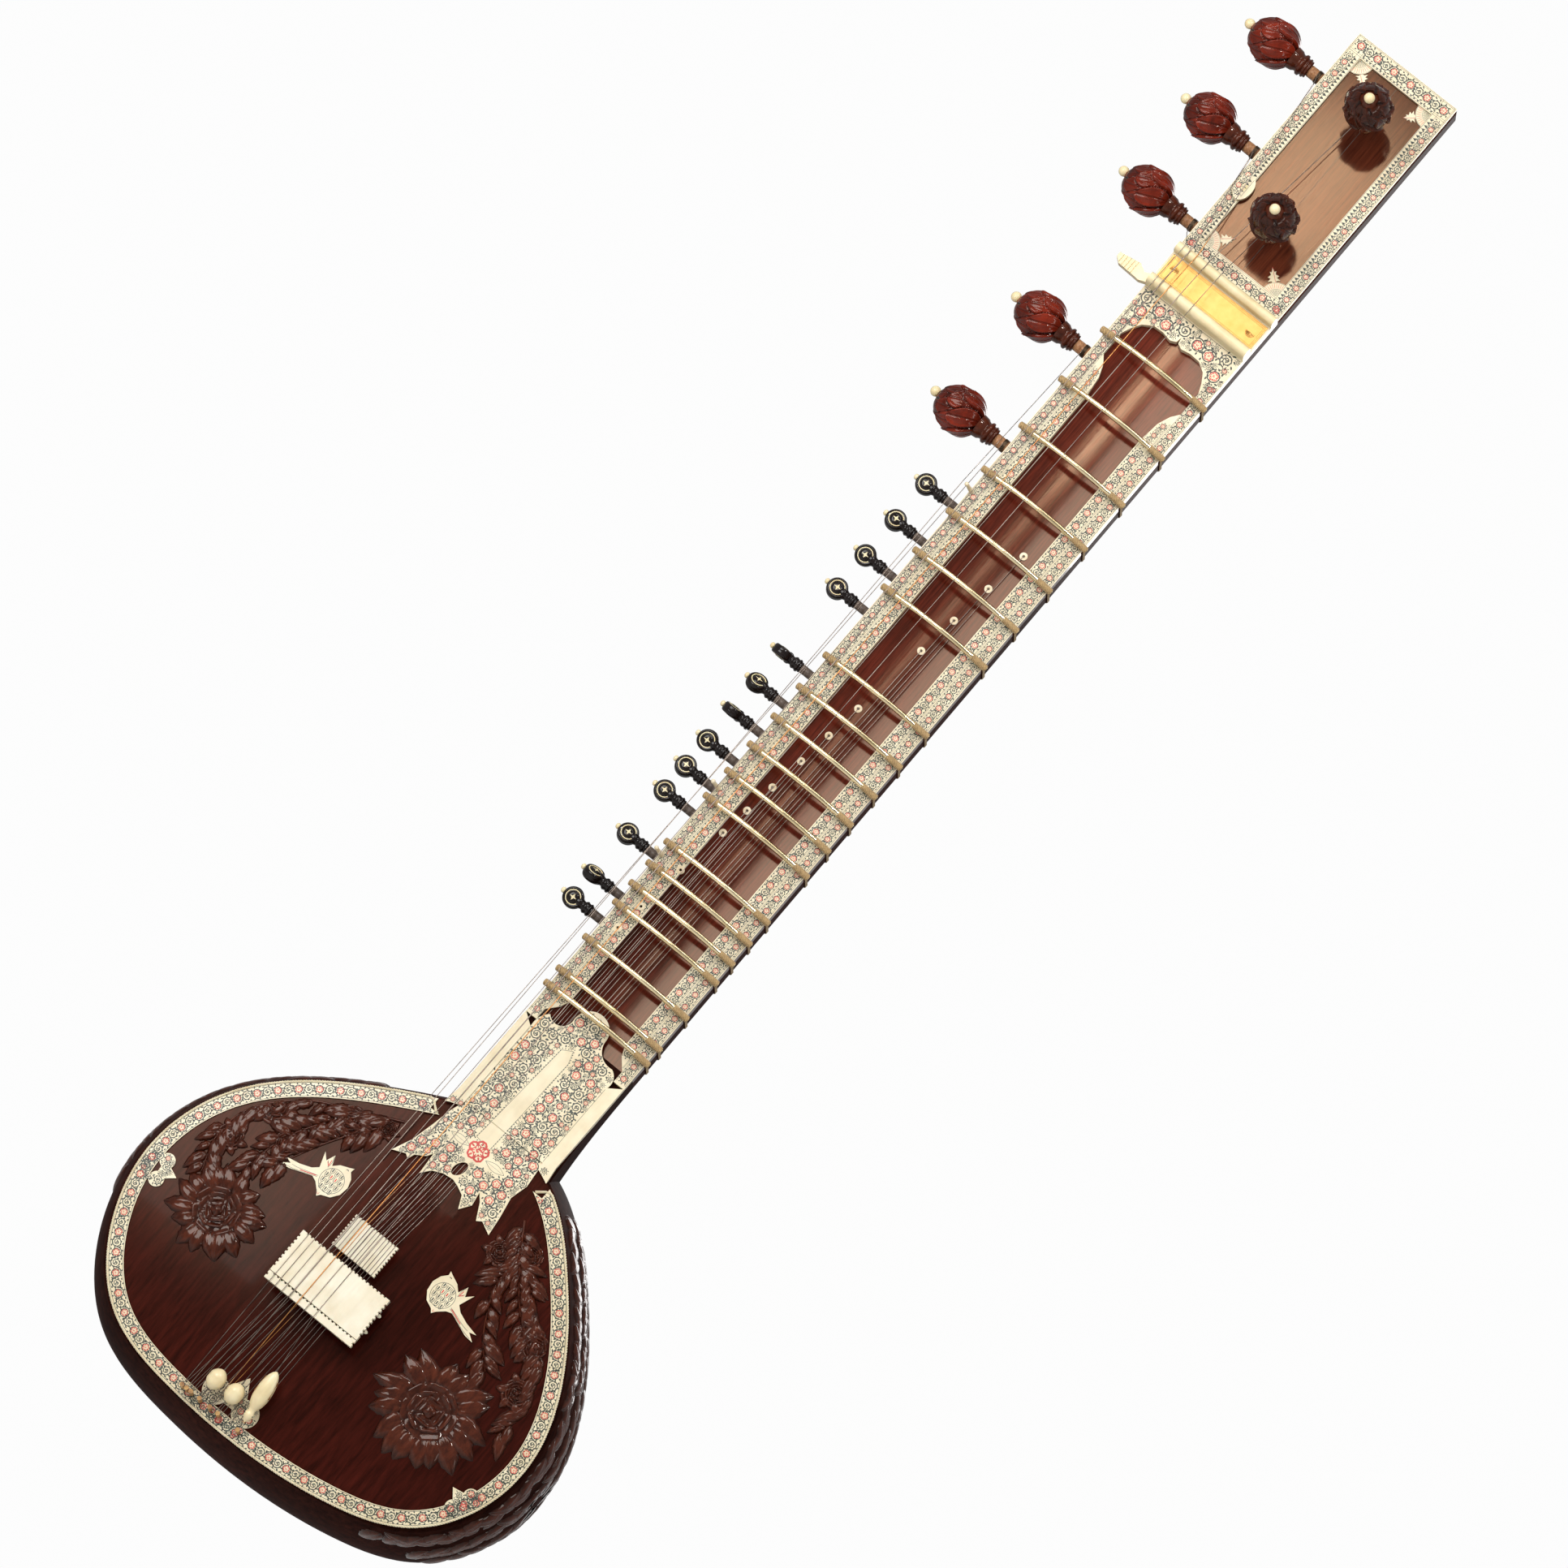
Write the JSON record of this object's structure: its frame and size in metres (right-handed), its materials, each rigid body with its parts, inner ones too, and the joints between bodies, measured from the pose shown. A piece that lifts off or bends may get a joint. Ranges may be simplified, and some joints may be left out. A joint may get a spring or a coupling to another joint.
{
  "type": "sitar",
  "caption": "Full-size sitar: carved gourd body, long hollow neck with movable arched brass frets, turning pegs, main and sympathetic strings over two flat bridges.",
  "frame": {"origin": "on the back of the neck, on its centreline, level with the nut, where a wall hanger's yoke holds it", "axes": "+Z along the neck to the peg head, +Y out of the back of the neck, +X to the right of someone who faces the frets"},
  "size_m": [0.3628, 0.2788, 1.2555],
  "materials": {
    "gourd_lacquer": "satin carved gourd, dark brown lacquer",
    "board_lacquer": "gloss, red-brown lacquered tun wood",
    "neck_lacquer": "gloss, red-brown lacquered tun wood",
    "celluloid": "gloss, cream celluloid engraved with black vines and red flowers",
    "bone": "polished camel bone",
    "brass": "polished",
    "steel": "drawn wire",
    "peg_rosewood": "gloss, carved lotus",
    "peg_ebony": "polished"
  },
  "bodies": {
    "root": {"gourd_shell": "gourd_lacquer", "soundboard": "board_lacquer", "soundboard_edging": "celluloid", "neck_joint": "neck_lacquer", "joint_overlay": "celluloid", "carved_leaves": "board_lacquer", "celluloid_trim": "celluloid", "fingerboard": "board_lacquer", "neck_shell": "neck_lacquer", "head_plate": "board_lacquer", "nut": "bone", "string_guide": "bone", "main_bridge": "neck_lacquer", "bridge_plate": "bone", "tarab_bridge": "bone", "string_pins": "bone", "strings": "steel"},
    "side_peg_1": {"side_peg_1": "peg_rosewood"},
    "side_peg_2": {"side_peg_2": "peg_rosewood"},
    "side_peg_3": {"side_peg_3": "peg_rosewood"},
    "side_peg_4": {"side_peg_4": "peg_rosewood"},
    "side_peg_5": {"side_peg_5": "peg_rosewood"},
    "front_peg_1": {"front_peg_1": "peg_rosewood"},
    "front_peg_2": {"front_peg_2": "peg_rosewood"},
    "tarab_peg_01": {"tarab_peg_01": "peg_ebony"},
    "tarab_peg_02": {"tarab_peg_02": "peg_ebony"},
    "tarab_peg_03": {"tarab_peg_03": "peg_ebony"},
    "tarab_peg_04": {"tarab_peg_04": "peg_ebony"},
    "tarab_peg_05": {"tarab_peg_05": "peg_ebony"},
    "tarab_peg_06": {"tarab_peg_06": "peg_ebony"},
    "tarab_peg_07": {"tarab_peg_07": "peg_ebony"},
    "tarab_peg_08": {"tarab_peg_08": "peg_ebony"},
    "tarab_peg_09": {"tarab_peg_09": "peg_ebony"},
    "tarab_peg_10": {"tarab_peg_10": "peg_ebony"},
    "tarab_peg_11": {"tarab_peg_11": "peg_ebony"},
    "tarab_peg_12": {"tarab_peg_12": "peg_ebony"},
    "tarab_peg_13": {"tarab_peg_13": "peg_ebony"},
    "fret_01": {"fret_01": "brass"},
    "fret_02": {"fret_02": "brass"},
    "fret_03": {"fret_03": "brass"},
    "fret_04": {"fret_04": "brass"},
    "fret_05": {"fret_05": "brass"},
    "fret_06": {"fret_06": "brass"},
    "fret_07": {"fret_07": "brass"},
    "fret_08": {"fret_08": "brass"},
    "fret_09": {"fret_09": "brass"},
    "fret_10": {"fret_10": "brass"},
    "fret_11": {"fret_11": "brass"},
    "fret_12": {"fret_12": "brass"},
    "fret_13": {"fret_13": "brass"},
    "fret_14": {"fret_14": "brass"},
    "fret_15": {"fret_15": "brass"},
    "fret_16": {"fret_16": "brass"},
    "fret_17": {"fret_17": "brass"},
    "fret_18": {"fret_18": "brass"},
    "fret_19": {"fret_19": "brass"},
    "fret_20": {"fret_20": "brass"},
    "tuning_bird": {"tuning_bird": "bone"},
    "tuning_bead_1": {"tuning_bead_1": "bone"},
    "tuning_bead_2": {"tuning_bead_2": "bone"}
  },
  "joints": [
    {"name": "side_peg_1_turn", "type": "hinge", "parent": "root", "child": "side_peg_1", "pos_m": [-0.043, -0.027, 0.1918], "axis": [-1, 0, 0], "continuous": true},
    {"name": "side_peg_2_turn", "type": "hinge", "parent": "root", "child": "side_peg_2", "pos_m": [-0.043, -0.027, 0.122], "axis": [-1, 0, 0], "continuous": true},
    {"name": "side_peg_3_turn", "type": "hinge", "parent": "root", "child": "side_peg_3", "pos_m": [-0.043, -0.027, 0.0545], "axis": [-1, 0, 0], "continuous": true},
    {"name": "side_peg_4_turn", "type": "hinge", "parent": "root", "child": "side_peg_4", "pos_m": [-0.043, -0.027, -0.062], "axis": [-1, 0, 0], "continuous": true},
    {"name": "side_peg_5_turn", "type": "hinge", "parent": "root", "child": "side_peg_5", "pos_m": [-0.043, -0.027, -0.149], "axis": [-1, 0, 0], "continuous": true},
    {"name": "front_peg_1_turn", "type": "hinge", "parent": "root", "child": "front_peg_1", "pos_m": [0.002, -0.05, 0.18], "axis": [0, -1, 0], "continuous": true},
    {"name": "front_peg_2_turn", "type": "hinge", "parent": "root", "child": "front_peg_2", "pos_m": [0.002, -0.05, 0.078], "axis": [0, -1, 0], "continuous": true},
    {"name": "tarab_peg_01_turn", "type": "hinge", "parent": "root", "child": "tarab_peg_01", "pos_m": [-0.043, -0.029, -0.2045], "axis": [-1, 0, 0], "continuous": true},
    {"name": "tarab_peg_02_turn", "type": "hinge", "parent": "root", "child": "tarab_peg_02", "pos_m": [-0.043, -0.029, -0.2374], "axis": [-1, 0, 0], "continuous": true},
    {"name": "tarab_peg_03_turn", "type": "hinge", "parent": "root", "child": "tarab_peg_03", "pos_m": [-0.043, -0.029, -0.2695], "axis": [-1, 0, 0], "continuous": true},
    {"name": "tarab_peg_04_turn", "type": "hinge", "parent": "root", "child": "tarab_peg_04", "pos_m": [-0.043, -0.029, -0.3], "axis": [-1, 0, 0], "continuous": true},
    {"name": "tarab_peg_05_turn", "type": "hinge", "parent": "root", "child": "tarab_peg_05", "pos_m": [-0.043, -0.029, -0.3585], "axis": [-1, 0, 0], "continuous": true},
    {"name": "tarab_peg_06_turn", "type": "hinge", "parent": "root", "child": "tarab_peg_06", "pos_m": [-0.043, -0.029, -0.3858], "axis": [-1, 0, 0], "continuous": true},
    {"name": "tarab_peg_07_turn", "type": "hinge", "parent": "root", "child": "tarab_peg_07", "pos_m": [-0.043, -0.029, -0.4115], "axis": [-1, 0, 0], "continuous": true},
    {"name": "tarab_peg_08_turn", "type": "hinge", "parent": "root", "child": "tarab_peg_08", "pos_m": [-0.043, -0.029, -0.438], "axis": [-1, 0, 0], "continuous": true},
    {"name": "tarab_peg_09_turn", "type": "hinge", "parent": "root", "child": "tarab_peg_09", "pos_m": [-0.043, -0.029, -0.4615], "axis": [-1, 0, 0], "continuous": true},
    {"name": "tarab_peg_10_turn", "type": "hinge", "parent": "root", "child": "tarab_peg_10", "pos_m": [-0.043, -0.029, -0.4838], "axis": [-1, 0, 0], "continuous": true},
    {"name": "tarab_peg_11_turn", "type": "hinge", "parent": "root", "child": "tarab_peg_11", "pos_m": [-0.043, -0.029, -0.5228], "axis": [-1, 0, 0], "continuous": true},
    {"name": "tarab_peg_12_turn", "type": "hinge", "parent": "root", "child": "tarab_peg_12", "pos_m": [-0.043, -0.029, -0.5593], "axis": [-1, 0, 0], "continuous": true},
    {"name": "tarab_peg_13_turn", "type": "hinge", "parent": "root", "child": "tarab_peg_13", "pos_m": [-0.043, -0.029, -0.5805], "axis": [-1, 0, 0], "continuous": true},
    {"name": "fret_01_slide", "type": "slide", "parent": "root", "child": "fret_01", "axis": [0, 0, 1], "range_m": [-0.0075, 0.008]},
    {"name": "fret_02_slide", "type": "slide", "parent": "root", "child": "fret_02", "axis": [0, 0, 1], "range_m": [-0.008, 0.008]},
    {"name": "fret_03_slide", "type": "slide", "parent": "root", "child": "fret_03", "axis": [0, 0, 1], "range_m": [-0.007, 0.008]},
    {"name": "fret_04_slide", "type": "slide", "parent": "root", "child": "fret_04", "axis": [0, 0, 1], "range_m": [-0.008, 0.008]},
    {"name": "fret_05_slide", "type": "slide", "parent": "root", "child": "fret_05", "axis": [0, 0, 1], "range_m": [-0.008, 0.004]},
    {"name": "fret_06_slide", "type": "slide", "parent": "root", "child": "fret_06", "axis": [0, 0, 1], "range_m": [-0.008, 0.007]},
    {"name": "fret_07_slide", "type": "slide", "parent": "root", "child": "fret_07", "axis": [0, 0, 1], "range_m": [-0.008, 0.008]},
    {"name": "fret_08_slide", "type": "slide", "parent": "root", "child": "fret_08", "axis": [0, 0, 1], "range_m": [-0.008, 0.008]},
    {"name": "fret_09_slide", "type": "slide", "parent": "root", "child": "fret_09", "axis": [0, 0, 1], "range_m": [-0.007, 0.008]},
    {"name": "fret_10_slide", "type": "slide", "parent": "root", "child": "fret_10", "axis": [0, 0, 1], "range_m": [-0.0055, 0.008]},
    {"name": "fret_11_slide", "type": "slide", "parent": "root", "child": "fret_11", "axis": [0, 0, 1], "range_m": [-0.007, 0.008]},
    {"name": "fret_12_slide", "type": "slide", "parent": "root", "child": "fret_12", "axis": [0, 0, 1], "range_m": [-0.0065, 0.0065]},
    {"name": "fret_13_slide", "type": "slide", "parent": "root", "child": "fret_13", "axis": [0, 0, 1], "range_m": [-0.006, 0.004]},
    {"name": "fret_14_slide", "type": "slide", "parent": "root", "child": "fret_14", "axis": [0, 0, 1], "range_m": [-0.0035, 0.008]},
    {"name": "fret_15_slide", "type": "slide", "parent": "root", "child": "fret_15", "axis": [0, 0, 1], "range_m": [-0.006, 0.005]},
    {"name": "fret_16_slide", "type": "slide", "parent": "root", "child": "fret_16", "axis": [0, 0, 1], "range_m": [-0.003, 0.006]},
    {"name": "fret_17_slide", "type": "slide", "parent": "root", "child": "fret_17", "axis": [0, 0, 1], "range_m": [-0.007, 0.004]},
    {"name": "fret_18_slide", "type": "slide", "parent": "root", "child": "fret_18", "axis": [0, 0, 1], "range_m": [-0.008, 0.008]},
    {"name": "fret_19_slide", "type": "slide", "parent": "root", "child": "fret_19", "axis": [0, 0, 1], "range_m": [-0.003, 0.008]},
    {"name": "fret_20_slide", "type": "slide", "parent": "root", "child": "fret_20", "axis": [0, 0, 1], "range_m": [-0.008, 0.003]},
    {"name": "tuning_bird_slide", "type": "slide", "parent": "root", "child": "tuning_bird", "axis": [-0.0836, -0.232, 0.9691], "range_m": [-0.003, 0.006]},
    {"name": "tuning_bead_1_slide", "type": "slide", "parent": "root", "child": "tuning_bead_1", "axis": [0.028, -0.2332, 0.972], "range_m": [-0.003, 0.006]},
    {"name": "tuning_bead_2_slide", "type": "slide", "parent": "root", "child": "tuning_bead_2", "axis": [0.0503, -0.2346, 0.9708], "range_m": [-0.003, 0.006]}
  ]
}
